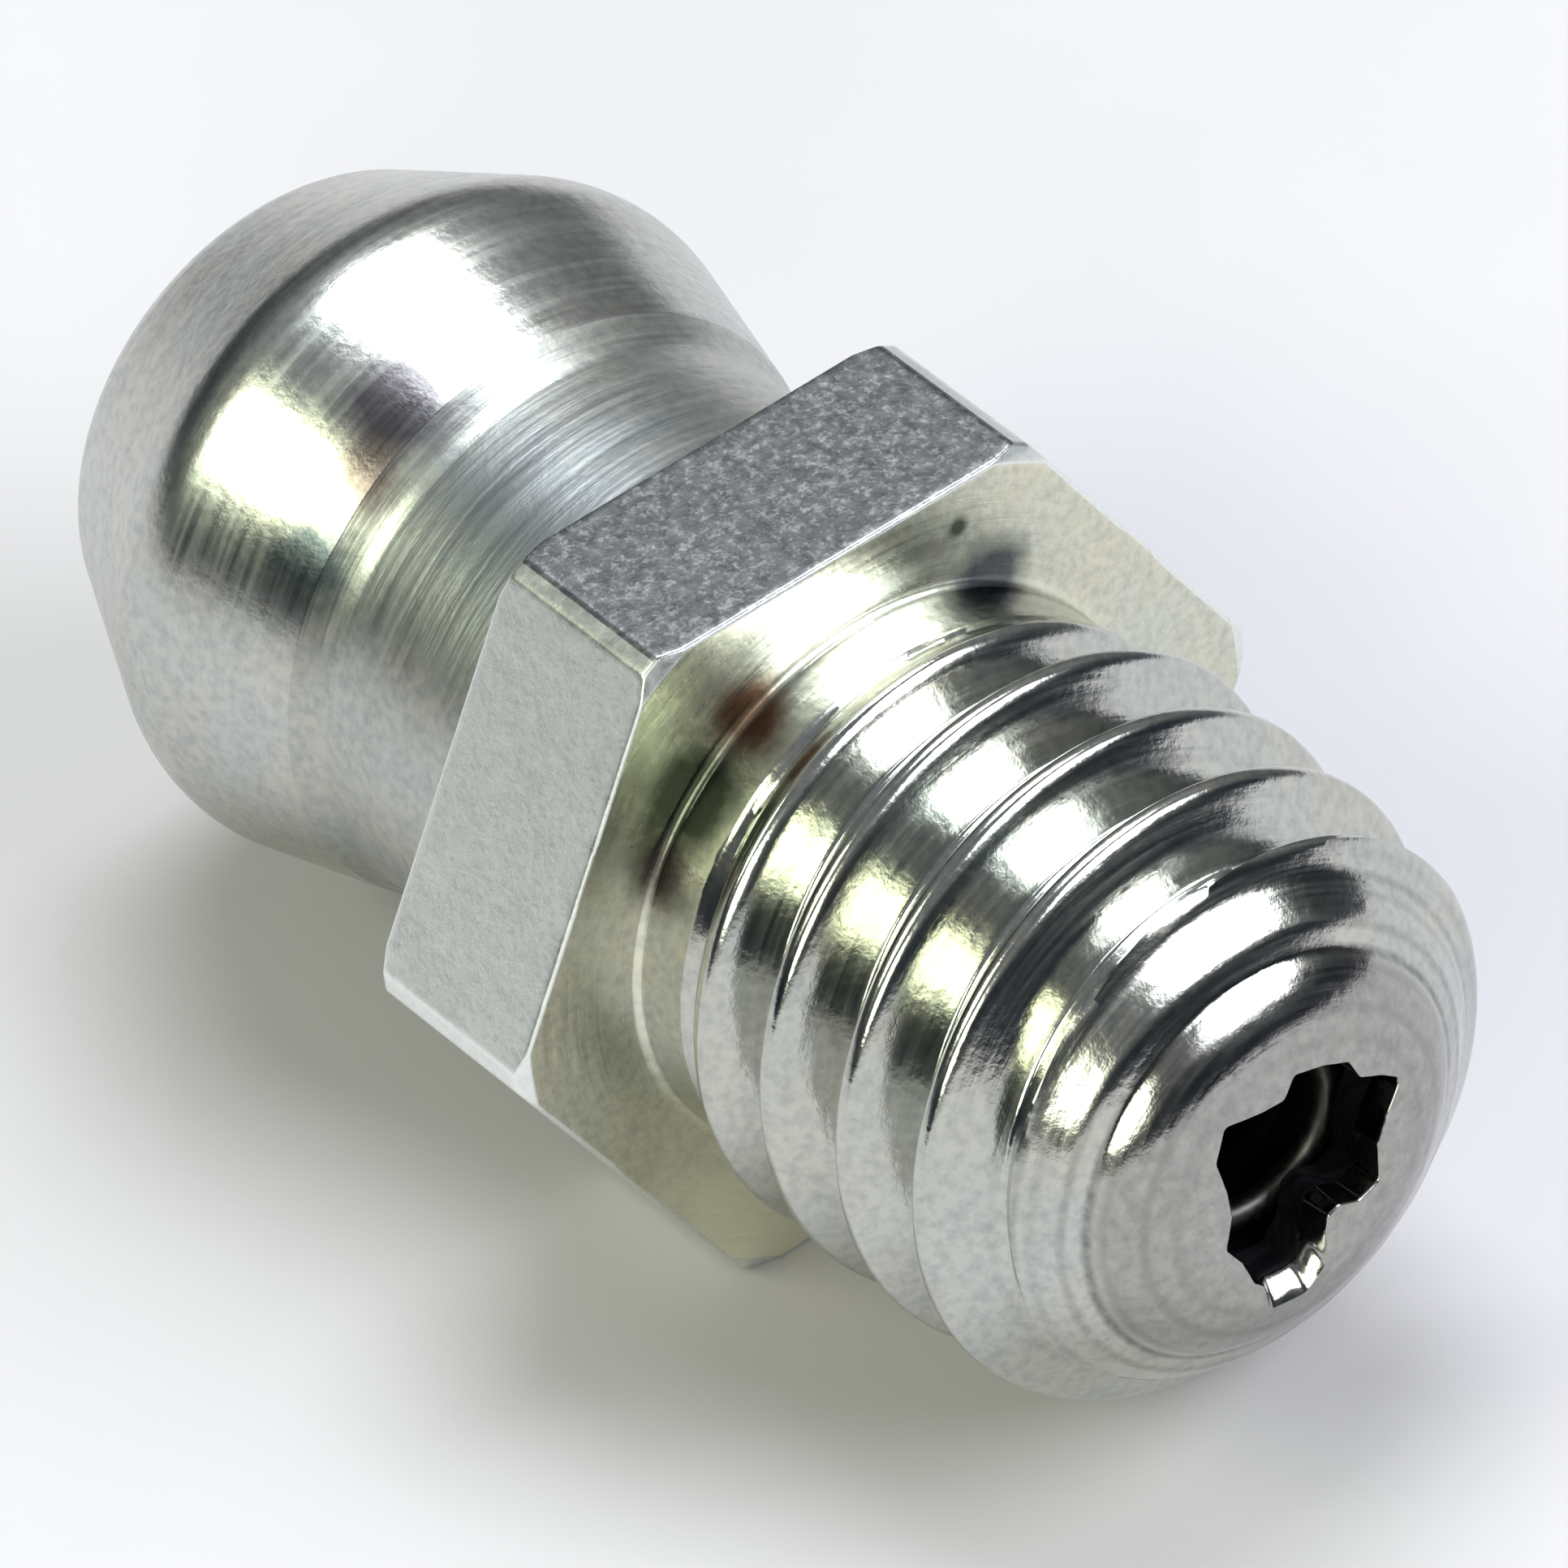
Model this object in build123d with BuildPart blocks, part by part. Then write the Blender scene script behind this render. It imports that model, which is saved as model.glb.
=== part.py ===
from build123d import *
import os
from math import atan, ceil, cos, degrees, radians, sin, sqrt, tan

# Straight grease nipple with a rolled, tapered M6 x 1 thread, lying on one flat of its hexagon.
# X is the axis: the thread points to +X and the coupling head to -X. Z is up.
# The origin is on the axis, in the face of the hexagon that seats on the greased part.
# All sizes are in millimetres and all angles in degrees.

# Hexagon
hex_across_flats = 7.0
hex_thickness = 2.0
hex_corner_relief = 0.056  # how far the six ridges are blunted below sharp corners
hex_face_relief = 0.135  # radial width of the chamfer on both faces, at the ridges
hex_chamfer_angle = 30.0

# Neck and coupling head
neck_diameter = 5.44
neck_length = 2.73
head_step = 0.15  # the head's lower rim stands this far out of the neck
head_lower_length = 1.75  # from the step to where the two cones meet
head_lower_angle = 14.1
head_upper_length = 2.12  # from where the cones meet to the flat top
head_upper_angle = 25.0
crown_fillet = 1.0  # rounding between the two cones, where the coupler grips
rim_fillet = 0.5  # rounding between the upper cone and the flat top
step_bevel = 0.1  # in the corner between the neck and the head's lower rim
root_bevel = 0.1  # where the neck and the shank meet the hexagon's faces

# Shank and thread
thread_diameter = 6.02  # over the crests, at the seat face
thread_pitch = 1.0
thread_taper = 1 / 16  # loss of diameter per length
thread_flank_angle = 30.0
plain_length = 0.6  # unthreaded blank under the seat face
run_out_angle = 30.0
ridge_start = -0.168  # where the ridge's crest line starts, at the top, inside the hexagon

# Rounded and staked nose: a lead-in, a rolled bead round its end, and a domed end face
shank_length = 5.66
nose_start = 4.35
nose_start_angle = 20.4  # slope of the lead-in where it leaves the crests
nose_diameter = 4.10  # in the groove between the lead-in and the bead
bead_length = 0.3
bead_start_angle = 42.0  # slope of the bead where it leaves the groove
face_diameter = 3.0
face_dome = 0.11
lip_thickness = 0.55
lip_fillet = 0.06  # rounding of every corner in the outline of the staked lip

# Valve
ball_diameter = 2.0
ball_clearance = 0.25  # between the ball and the bore, for the grease
seat_angle = 45.0
seat_lap = 0.107  # the seat cone runs on this far inside the ball's line of contact
seat_gap = 0.012
inlet_land = 0.35
inlet_chamfer = 0.1
wire_diameter = 0.25
wire_sides = 6  # the round wire is drawn with this many flat sides
spring_coils = 7
spring_clearance = 0.205  # between the coils and the bore
spring_gap = 0.012

# Staked lip: corners of its uneven edge, each by its angle from +Y towards +Z, and by how far
# it stands in from the wall of the bore. The punch leaves six tabs that hold the spring in.
lip_outline = [
    (7, 0.30),
    (18, 0.05),
    (30, 0.17),
    (42, 0.27),
    (54, 0.16),
    (70, 0.17),
    (86, 0.15),
    (94, 0.33),
    (107, 0.28),
    (124, 0.06),
    (140, 0.19),
    (155, 0.42),
    (175, 0.51),
    (198, 0.37),
    (216, 0.39),
    (234, 0.24),
    (250, 0.14),
    (266, 0.17),
    (278, 0.38),
    (290, 0.66),
    (303, 0.65),
    (312, 0.44),
    (326, 0.31),
    (349, 0.43),
]

# Turned cuts start and end this far outside the metal that they cut
cut_margin = 0.5

# Places along the axis
hex_back = -hex_thickness
neck_end = hex_back - neck_length
crown = neck_end - head_lower_length
head_top = crown - head_upper_length
seat_edge = head_top + inlet_land
face_edge = shank_length - face_dome
bead_start = face_edge - bead_length
lip_inside = face_edge - lip_thickness

# Radii
hex_ridge_radius = hex_across_flats / 2 / cos(radians(30)) - hex_corner_relief
hex_chamfer = hex_face_relief * tan(radians(hex_chamfer_angle))
neck_radius = neck_diameter / 2
step_radius = neck_radius + head_step
crown_radius = step_radius + head_lower_length * tan(radians(head_lower_angle))
top_radius = crown_radius - head_upper_length * tan(radians(head_upper_angle))
nose_radius = nose_diameter / 2
face_radius = face_diameter / 2
ball_radius = ball_diameter / 2
bore_radius = ball_radius + ball_clearance
inlet_radius = ball_radius * cos(radians(seat_angle)) - seat_lap
inlet_mouth_radius = inlet_radius + inlet_chamfer
wire_radius = wire_diameter / 2
coil_radius = bore_radius - spring_clearance - wire_radius

# Thread form of 60 degrees, cut off at an eighth of its sharp height at the crests
sharp_height = thread_pitch / 2 / tan(radians(thread_flank_angle))
thread_depth = 17 / 24 * sharp_height
blank_radius = thread_diameter / 2 - 3 / 8 * sharp_height


def crest_radius(x):
    """Radius over the thread's crests at a place along the axis."""
    return thread_diameter / 2 - x * thread_taper / 2


def root_radius(x):
    """Radius at the thread's roots at a place along the axis."""
    return crest_radius(x) - thread_depth


# Run-out: the crests rise out of the blank, and the roots sink into it, at the same angle.
# The core is left thicker than the blank, which is then turned down to its radius.
run_out_slope = tan(radians(run_out_angle))
run_out_top = crest_radius(0) + cut_margin
full_root = plain_length + (blank_radius - root_radius(plain_length)) / run_out_slope
core_radius = blank_radius + thread_depth / 4
core_edge = plain_length - (core_radius - blank_radius) / run_out_slope

# The swept ridge is sunk a tenth of a pitch below the roots, and the core outruns its ends
ridge_base = root_radius(ridge_start) - thread_pitch / 10
ridge_tip = crest_radius(ridge_start)
tip_half_width = thread_pitch / 16
base_half_width = tip_half_width + (ridge_tip - ridge_base) * tan(radians(thread_flank_angle))
ridge_turns = ceil((shank_length - ridge_start) / thread_pitch)
core_start = ridge_start - thread_pitch
core_end = ridge_start + (ridge_turns + 1) * thread_pitch

# The ball rests a hair's breadth off the seat cone, and the spring off the ball and the lip
seat_end = seat_edge + (bore_radius - inlet_radius) / tan(radians(seat_angle))
seat_apex = seat_edge - inlet_radius / tan(radians(seat_angle))
ball_centre = seat_apex + (ball_radius + seat_gap) / sin(radians(seat_angle))
coil_reach = ball_radius + spring_gap + wire_radius
first_coil = ball_centre + sqrt(coil_reach**2 - coil_radius**2)
last_coil = lip_inside - wire_radius - spring_gap
spring_length = last_coil - first_coil


def turned(*points):
    """Closed outline through (place along the axis, radius) points, to revolve around X."""
    with BuildSketch(Plane.XZ) as outline:
        with BuildLine():
            Polyline(*points, close=True)
        make_face()
    return outline.sketch


def lip_point(angle, inset):
    """Point of the staked lip, across the axis."""
    radius = bore_radius - inset
    return radius * cos(radians(angle)), radius * sin(radians(angle))


with BuildPart() as nipple_body:
    # Core of the shank: the blank under the seat, then the roots of the thread
    core = turned(
        (core_start, 0),
        (core_start, core_radius),
        (core_edge, core_radius),
        (full_root, root_radius(full_root)),
        (core_end, root_radius(core_end)),
        (core_end, 0),
    )
    revolve(core, axis=Axis.X)

    # Right-hand ridge along a conical helix
    with BuildLine() as ridge_path:
        Helix(
            thread_pitch,
            ridge_turns * thread_pitch,
            ridge_base,
            center=(ridge_start, 0, 0),
            direction=(1, 0, 0),
            cone_angle=-degrees(atan(thread_taper / 2)),
        )
    ridge = turned(
        (ridge_start - base_half_width, ridge_base),
        (ridge_start - tip_half_width, ridge_tip),
        (ridge_start + tip_half_width, ridge_tip),
        (ridge_start + base_half_width, ridge_base),
    )
    sweep(ridge, path=ridge_path.wire(), is_frenet=True)

    # Run-out: turned down to the blank under the seat, then up a cone into the crests
    outside_blank = turned(
        (core_start - cut_margin, blank_radius),
        (plain_length, blank_radius),
        (plain_length + (run_out_top - blank_radius) / run_out_slope, run_out_top),
        (core_start - cut_margin, run_out_top),
    )
    revolve(outside_blank, axis=Axis.X, mode=Mode.SUBTRACT)

    # Nose: turned down to the rounded lead-in, the bead and the domed end face
    nose_slope = tan(radians(nose_start_angle))
    with BuildSketch(Plane.XZ):
        with BuildLine():
            lead_in = TangentArc(
                (nose_start, crest_radius(nose_start)),
                (bead_start, nose_radius),
                tangent=(1, -nose_slope),
            )
            TangentArc(
                (bead_start, nose_radius),
                (face_edge, face_radius),
                tangent=(1, -tan(radians(bead_start_angle))),
            )
            dome = TangentArc((shank_length, 0), (face_edge, face_radius), tangent=(0, 1))
            Polyline(
                lead_in @ 0,
                (nose_start - cut_margin, crest_radius(nose_start) + cut_margin * nose_slope),
                (nose_start - cut_margin, run_out_top),
                (core_end + cut_margin, run_out_top),
                (core_end + cut_margin, 0),
                dome @ 0,
            )
        make_face()
    revolve(axis=Axis.X, mode=Mode.SUBTRACT)

    # Hexagon, with one flat at the bottom and one at the top, chamfered on both faces
    with BuildSketch(Plane.YZ.offset(hex_back)):
        RegularPolygon(hex_across_flats / 2, 6, major_radius=False)
    extrude(amount=hex_thickness)
    outside_chamfers = turned(
        (hex_back - hex_chamfer, hex_ridge_radius - 2 * hex_face_relief),
        (hex_back + hex_chamfer, hex_ridge_radius),
        (-hex_chamfer, hex_ridge_radius),
        (hex_chamfer, hex_ridge_radius - 2 * hex_face_relief),
        (hex_chamfer, hex_across_flats),
        (hex_back - hex_chamfer, hex_across_flats),
    )
    revolve(outside_chamfers, axis=Axis.X, mode=Mode.SUBTRACT)

    # Neck and coupling head
    with BuildSketch(Plane.XZ):
        with BuildLine():
            Polyline(
                (hex_back / 2, 0),
                (hex_back / 2, neck_radius),
                (neck_end, neck_radius),
                (neck_end, step_radius),
                (crown, crown_radius),
                (head_top, top_radius),
                (head_top, 0),
                close=True,
            )
        make_face()
        chamfer(vertices().sort_by_distance((neck_end, neck_radius))[0], step_bevel)
        fillet(vertices().sort_by_distance((crown, crown_radius))[0], crown_fillet)
        fillet(vertices().sort_by_distance((head_top, top_radius))[0], rim_fillet)
    revolve(axis=Axis.X)

    # Bevels in the corners where the neck and the shank leave the hexagon
    for face_x in (hex_back, 0):
        circles = edges().filter_by(GeomType.CIRCLE)
        circles = circles.filter_by_position(Axis.X, face_x - hex_chamfer / 2, face_x + hex_chamfer / 2)
        chamfer(circles.sort_by(SortBy.RADIUS)[0], root_bevel)

    # Inlet, ball seat and spring bore
    grease_way = turned(
        (head_top - cut_margin, 0),
        (head_top - cut_margin, inlet_mouth_radius + cut_margin),
        (head_top + inlet_chamfer, inlet_radius),
        (seat_edge, inlet_radius),
        (seat_end, bore_radius),
        (lip_inside, bore_radius),
        (lip_inside, 0),
    )
    revolve(grease_way, axis=Axis.X, mode=Mode.SUBTRACT)

    # Outlet between the staked tabs
    with BuildSketch(Plane.YZ.offset(lip_inside - cut_margin)):
        with BuildLine():
            Polyline(*[lip_point(angle, inset) for angle, inset in lip_outline], close=True)
        make_face()
        fillet(vertices(), lip_fillet)
    extrude(amount=shank_length - lip_inside + 2 * cut_margin, mode=Mode.SUBTRACT)

with BuildPart() as check_ball:
    with Locations((ball_centre, 0, 0)):
        Sphere(ball_radius)

with BuildPart() as valve_spring:
    with BuildLine() as coil_path:
        coils = Helix(
            spring_length / spring_coils,
            spring_length,
            coil_radius,
            center=(first_coil, 0, 0),
            direction=(1, 0, 0),
        )
    with BuildSketch(Plane(coils @ 0, z_dir=coils % 0)):
        RegularPolygon(wire_radius, wire_sides)
    sweep(path=coil_path.wire(), is_frenet=True)

nipple_body.part.label = "nipple_body"
check_ball.part.label = "check_ball"
valve_spring.part.label = "valve_spring"

os.makedirs("parts", exist_ok=True)
export_step(nipple_body.part, "parts/nipple_body.step")
export_step(check_ball.part, "parts/check_ball.step")
export_step(valve_spring.part, "parts/valve_spring.step")
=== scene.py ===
from math import cos, pi, radians, sin, tan

import bmesh
import bpy
import numpy as np
from mathutils import Matrix, Vector


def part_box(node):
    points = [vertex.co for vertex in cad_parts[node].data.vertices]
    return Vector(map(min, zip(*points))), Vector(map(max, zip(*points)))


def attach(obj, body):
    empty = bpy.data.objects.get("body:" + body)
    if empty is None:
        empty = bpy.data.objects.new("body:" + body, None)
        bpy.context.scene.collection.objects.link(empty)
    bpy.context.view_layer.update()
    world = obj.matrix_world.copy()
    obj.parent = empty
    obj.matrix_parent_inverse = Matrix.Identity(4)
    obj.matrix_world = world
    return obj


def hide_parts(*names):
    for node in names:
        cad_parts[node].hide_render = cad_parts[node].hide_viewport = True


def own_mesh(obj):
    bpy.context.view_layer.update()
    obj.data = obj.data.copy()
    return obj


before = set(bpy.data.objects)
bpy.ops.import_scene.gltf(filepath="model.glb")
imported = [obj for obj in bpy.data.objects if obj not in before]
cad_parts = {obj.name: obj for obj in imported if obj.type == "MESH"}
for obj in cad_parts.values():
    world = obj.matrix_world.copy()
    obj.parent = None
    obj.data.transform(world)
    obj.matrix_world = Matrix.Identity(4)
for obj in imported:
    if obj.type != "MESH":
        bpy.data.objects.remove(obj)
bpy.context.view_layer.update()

# Straight grease nipple, lying on one flat of its hexagon. X is the axis: the thread points to
# +X and the coupling head to -X. Lengths are in millimetres until a mesh or an object is made.
MM = 0.001


def node_box(name):
    """Lowest and highest corner of a CAD node, in millimetres."""
    low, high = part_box(name)
    return low / MM, high / MM


body_low, body_high = node_box("nipple_body")
ball_low, ball_high = node_box("check_ball")
spring_low, spring_high = node_box("valve_spring")

# Hexagon: its flats give the body's height, and its blunt ridges its width
flat_radius = body_high.z
ridge_radius = body_high.y
hex_back = -2.0
hex_face_relief = 0.135
hex_chamfer_angle = radians(30)
hex_rounding = 0.045  # worn rounding of the hexagon's edges
ridge_rounding = 0.012

# Neck and coupling head
head_top = body_low.x
neck_radius = 2.72
step_x = -4.73
step_radius = neck_radius + 0.15
step_run = 0.32  # the step back to the neck is worn to a slope of this length
step_rounding = 0.10
step_foot_rounding = 0.5
crown_x = -6.48
head_lower_angle = radians(14.1)
head_upper_angle = radians(25)
crown_radius = step_radius + (step_x - crown_x) * tan(head_lower_angle)
top_radius = crown_radius - (crown_x - head_top) * tan(head_upper_angle)
crown_fillet = 1.0
rim_fillet = 0.5
root_fillet = 0.1  # where the neck and the shank meet the hexagon's faces

# Shank and thread
pitch = 1.0
crest_start_radius = 3.01
taper = 1 / 32  # loss of radius per length
flank_angle = radians(30)
sharp_height = pitch / 2 / tan(flank_angle)
thread_depth = 17 / 24 * sharp_height
crest_half_width = pitch / 16
blank_radius = crest_start_radius - 3 / 8 * sharp_height
plain_length = 0.6
run_out_slope = tan(radians(30))
run_out_sink = 0.05  # the ridge starts to rise from this far below the blank
crest_at_top = -0.168  # place along the axis where the crest's line crosses +Z
crest_rounding = 0.08
root_rounding = 0.06

# Sizes of the roundings where the shank's surfaces cross each other
crest_blend = crest_rounding * 0.9
root_blend = root_rounding * 0.9
core_blend = 0.05
run_out_blend = 0.16
ridge_blend = 0.03
nose_blend = 0.08

# Ends of the part of the mesh that follows the thread
thread_start = plain_length - 0.04
thread_end = 5.15
row_gap = 0.012  # least distance along the axis between the thread's points and the plain rows

# Nose: a lead-in, a groove, a rolled bead and the end face. Each pair is a distance along the
# outline, as run along the axis plus run inwards, and the outline's slope there in degrees.
nose_start = 4.35
nose_slopes = [
    (0.0, 22),
    (0.38, 38),
    (0.50, 60),
    (0.74, 60),
    (0.92, 46),
    (1.36, 47),
    (1.46, 62),
    (1.70, 63),
    (1.78, 39),
    (2.12, 54),
    (2.62, 70),
    (2.95, 81),
    (3.20, 87),
    (4.20, 89),
]
nose_points = 421  # points that the outline is worked out at
face_radius = 1.45  # the bead has run out into the end face here
lip_inside = 5.0
lip_fillet = 0.06
lip_rounding = 0.03
lip_edge = 0.3  # the lip's wall is straight from its inside to this far out

# At the foot of the outlet the lip is dressed back to a bevel. It fades in and out between these
# angles, in degrees from +Y towards +Z.
lip_flare = 0.17  # depth of the bevel
flare_share = 0.65  # how much of it is flat and not round
flare_fades_in = (240, 251)
flare_fades_out = (276, 284)

# Staked lip: corners of its uneven edge, each by its angle from +Y towards +Z in degrees, and
# by how far it stands in from the bore
lip_outline = [
    (7, 0.30),
    (18, 0.05),
    (30, 0.17),
    (42, 0.27),
    (54, 0.16),
    (70, 0.17),
    (86, 0.15),
    (94, 0.33),
    (107, 0.28),
    (124, 0.06),
    (140, 0.19),
    (155, 0.42),
    (175, 0.51),
    (198, 0.37),
    (216, 0.39),
    (234, 0.24),
    (250, 0.14),
    (266, 0.17),
    (278, 0.38),
    (290, 0.66),
    (303, 0.65),
    (312, 0.44),
    (326, 0.31),
    (349, 0.43),
]

# Valve
ball_radius = (ball_high.x - ball_low.x) / 2
ball_centre = (ball_high.x + ball_low.x) / 2
ball_clearance = 0.25
bore_radius = ball_radius + ball_clearance
inlet_radius = 0.60
inlet_chamfer = 0.10
inlet_land = 0.35
seat_edge = head_top + inlet_land
seat_end = seat_edge + bore_radius - inlet_radius
seat_turn = radians(135)  # where the seat has polished a band on the ball, from +X
seat_band_width = 0.05
seat_band_depth = 0.004
wire_radius = 0.125
coil_radius = 0.92
spring_coils = 7
closed_turns = 0.8  # turns that are closed up at each end
closed_pitch = 2.1 * wire_radius
wire_end_share = 0.8  # the wire's cut ends narrow to this much of its width
wire_end_length = 0.12 * wire_radius

# Camera: its place as seen from the nipple, its roll, and the point that it looks at
camera_azimuth = radians(57.72)
camera_elevation = radians(41.07)
camera_roll = radians(8.83)
camera_distance = 180.0
camera_near = camera_distance / 10
camera_far = camera_distance * 20
camera_aim = Vector((-0.859, -0.369, 0.607))
camera_lens = 484.5
sensor_width = 36.0


# ---------------------------------------------------------------- outlines

far_out = 9  # a radius outside the hexagon, which only gives the direction of a line

def arc_points(start, corner, end, radius, count):
    """Points of the rounding, of that radius, in the corner between two straight lines."""
    start, corner, end = (np.array(p, float) for p in (start, corner, end))
    back = (start - corner) / np.linalg.norm(start - corner)
    ahead = (end - corner) / np.linalg.norm(end - corner)
    half = np.arccos(np.clip(back @ ahead, -1, 1)) / 2
    middle = (back + ahead) / np.linalg.norm(back + ahead)
    centre = corner + middle * radius / sin(half)
    first = corner + back * radius / tan(half) - centre
    last = corner + ahead * radius / tan(half) - centre
    turn = np.arctan2(first[0] * last[1] - first[1] * last[0], first @ last)
    points = []
    for share in np.linspace(0, 1, count):
        c, s = cos(turn * share), sin(turn * share)
        points.append(centre + (c * first[0] - s * first[1], s * first[0] + c * first[1]))
    return points


def line_points(start, end, count):
    """Points between two places, without the two."""
    start, end = np.array(start, float), np.array(end, float)
    return [start + (end - start) * k / (count + 1) for k in range(1, count + 1)]


def crest_radius(x):
    """Radius of the tapered thread's crests."""
    return crest_start_radius - taper * x


def soft_min(a, b, size):
    """The smaller of two heights, with a rounding of about that size where they cross."""
    share = np.clip(0.5 + 0.5 * (b - a) / size, 0, 1)
    return b + (a - b) * share - size * share * (1 - share)


def soft_max(a, b, size):
    """The larger of two heights, rounded in the same way."""
    return -soft_min(-a, -b, size)


# ---------------------------------------------------------------- columns


def column_angles():
    """Angles of the mesh's columns, close together at the hexagon's ridges."""
    near = [0, 0.7, 1.15, 1.45, 1.75, 2.2, 3.0]
    flat = np.linspace(3.0, 57.0, 41)[1:-1]
    sector = np.concatenate([near, flat, 60 - np.array(near[:0:-1])])
    return np.radians(np.concatenate([sector + 60 * k for k in range(6)]))


angles = column_angles()
columns = len(angles)
flat_offset = (np.degrees(angles) % 60) - 30
hexagon = soft_min(
    flat_radius / np.cos(np.radians(flat_offset)),
    np.full(columns, ridge_radius),
    ridge_rounding,
)


def ring(x, radius):
    """One row of the mesh: places along the axis and radii, for each column."""
    return np.broadcast_to(x, columns).astype(float), np.broadcast_to(radius, columns).astype(float)


# ---------------------------------------------------------------- rows


def head_rows():
    """From the inlet's mouth over the coupling head and along the neck."""
    mouth = (head_top, inlet_radius + inlet_chamfer)
    rim = (head_top, top_radius)
    crown = (crown_x, crown_radius)
    step = (step_x, step_radius)
    rim_arc = arc_points(mouth, rim, crown, rim_fillet, 9)
    crown_arc = arc_points(rim, crown, step, crown_fillet, 13)
    points = [mouth] + line_points(mouth, rim_arc[0], 5) + rim_arc
    points += line_points(rim_arc[-1], crown_arc[0], 5) + crown_arc
    points += line_points(points[-1], step, 6)
    step_foot = (step_x + step_run, neck_radius)
    points += arc_points(crown, step, step_foot, step_rounding, 4)
    points += arc_points(step, step_foot, (hex_back, neck_radius), step_foot_rounding, 6)
    points += line_points(points[-1], (hex_back - root_fillet, neck_radius), 10)
    return [ring(x, r) for x, r in points]


def corner_rows(face_x, outward):
    """Rounded edge between a face of the hexagon and its side, the face end first."""
    edge = hex_rounding
    chamfer_start = ridge_radius - hex_face_relief
    normal = np.array((cos(hex_chamfer_angle), sin(hex_chamfer_angle)))
    face_end = chamfer_start - edge * (1 - normal[0]) / normal[1]
    side = hexagon - edge
    chamfered = face_end < side
    first_r = np.where(chamfered, face_end, side)
    second_x = np.where(chamfered, -(edge + normal[1] * (side - chamfer_start)) / normal[0], -edge)
    rows = []
    for turn in np.linspace(0, hex_chamfer_angle, 3):
        rows.append((-edge + edge * cos(turn), first_r + edge * sin(turn)))
    for turn in np.linspace(hex_chamfer_angle, pi / 2, 5):
        rows.append((second_x + edge * cos(turn), side + edge * sin(turn)))
    return [ring(face_x + outward * x, r) for x, r in rows]


def hexagon_rows():
    """Back face, sides and front face of the hexagon."""
    rows = [ring(x, r) for x, r in arc_points(
        (step_x, neck_radius), (hex_back, neck_radius), (hex_back, far_out), root_fillet, 5)]
    back_edge = corner_rows(hex_back, -1)
    front_edge = corner_rows(0, 1)[::-1]
    for share in (0.2, 0.4, 0.6, 0.8, 0.95):
        inner = neck_radius + root_fillet
        rows.append(ring(hex_back, inner + (back_edge[0][1] - inner) * share))
    rows += back_edge
    for share in (0.03, 0.1, 0.25, 0.5, 0.75, 0.9, 0.97):
        start, end = back_edge[-1][0], front_edge[0][0]
        rows.append(ring(start + (end - start) * share, hexagon))
    rows += front_edge
    for share in (0.05, 0.2, 0.4, 0.6, 0.8):
        inner = blank_radius + root_fillet
        outer = front_edge[-1][1]
        rows.append(ring(0, outer + (inner - outer) * share))
    return rows


def shank_rows():
    """The plain blank between the hexagon and the thread."""
    rows = [ring(x, r) for x, r in arc_points(
        (0, far_out), (0, blank_radius), (plain_length, blank_radius), root_fillet, 5)]
    for x in np.linspace(root_fillet, thread_start, 7)[1:]:
        rows.append(ring(x, blank_radius))
    return rows


# ---------------------------------------------------------------- thread and nose


def thread_stations():
    """Places within one pitch, from crest to crest, close together where the form turns."""
    crest = crest_half_width
    crest_tangent = crest_rounding * tan((pi / 2 - flank_angle) / 2)
    root = pitch / 2 - crest - thread_depth * tan(flank_angle)
    root_tangent = root_rounding * tan((pi / 2 - flank_angle) / 2)
    top = np.linspace(crest - crest_tangent, crest + crest_tangent, 5)
    bottom = pitch / 2 - root - root_tangent * 0.5 + np.linspace(0, root_tangent * 1.5, 4)
    flank = np.linspace(top[-1], bottom[0], 8)[1:-1]
    half = np.concatenate([top, flank, bottom])
    return np.concatenate([[0.0], half, [pitch / 2], pitch - half[::-1]])


stations = thread_stations()


def rounded_ridge(offset):
    """Depth below the crest at a distance along the axis from the crest's middle."""
    away = np.abs((offset + pitch / 2) % pitch - pitch / 2)
    fall = (away - crest_half_width) / tan(flank_angle)
    depth = soft_max(fall, np.zeros_like(fall), crest_blend)
    return soft_min(depth, np.full_like(depth, thread_depth), root_blend)


def nose_outline():
    """Places along the axis and radii of the nose, from the end of the full thread inwards."""
    along = np.linspace(0, nose_slopes[-1][0], nose_points)
    slope = np.tan(np.radians(np.interp(along, *zip(*nose_slopes))))
    run = np.gradient(along) / (1 + slope)
    return nose_start + np.cumsum(run), crest_radius(nose_start) - np.cumsum(run * slope)


nose_x, nose_r = nose_outline()


def nose_profile(x):
    """Radius of the nose at a place along the axis. Its first slope runs on over the thread."""
    straight = nose_r[0] + (nose_start - x) * tan(radians(nose_slopes[0][1]))
    return np.where(x < nose_start, straight, np.interp(x, nose_x, nose_r))


def face_x(radius):
    """Place along the axis of the end face at a radius."""
    return np.interp(radius, nose_r[::-1], nose_x[::-1])


def smooth_step(value, low, high):
    """Share that rises smoothly from 0 to 1 between two values."""
    share = np.clip((value - low) / (high - low), 0, 1)
    return share * share * (3 - 2 * share)


def crest_place(angle):
    """Place along the axis of the crest's line at an angle, on the turn that crosses +Z first."""
    return crest_at_top + (angle - pi / 2) / (2 * pi) * pitch


def shank_radius(x, angle):
    """Radius of the threaded shank: the core, the ridge that rises from it, and the nose."""
    thread = crest_radius(x) - rounded_ridge(x - crest_place(angle))
    full = crest_radius(x) - thread_depth
    slope = np.maximum(x - plain_length, 0) * run_out_slope
    core = soft_max(blank_radius - slope, full, core_blend)
    run_out = blank_radius - run_out_sink + slope
    radius = soft_max(core, soft_min(thread, run_out, run_out_blend), ridge_blend)
    return soft_min(radius, nose_profile(x), nose_blend)


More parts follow.
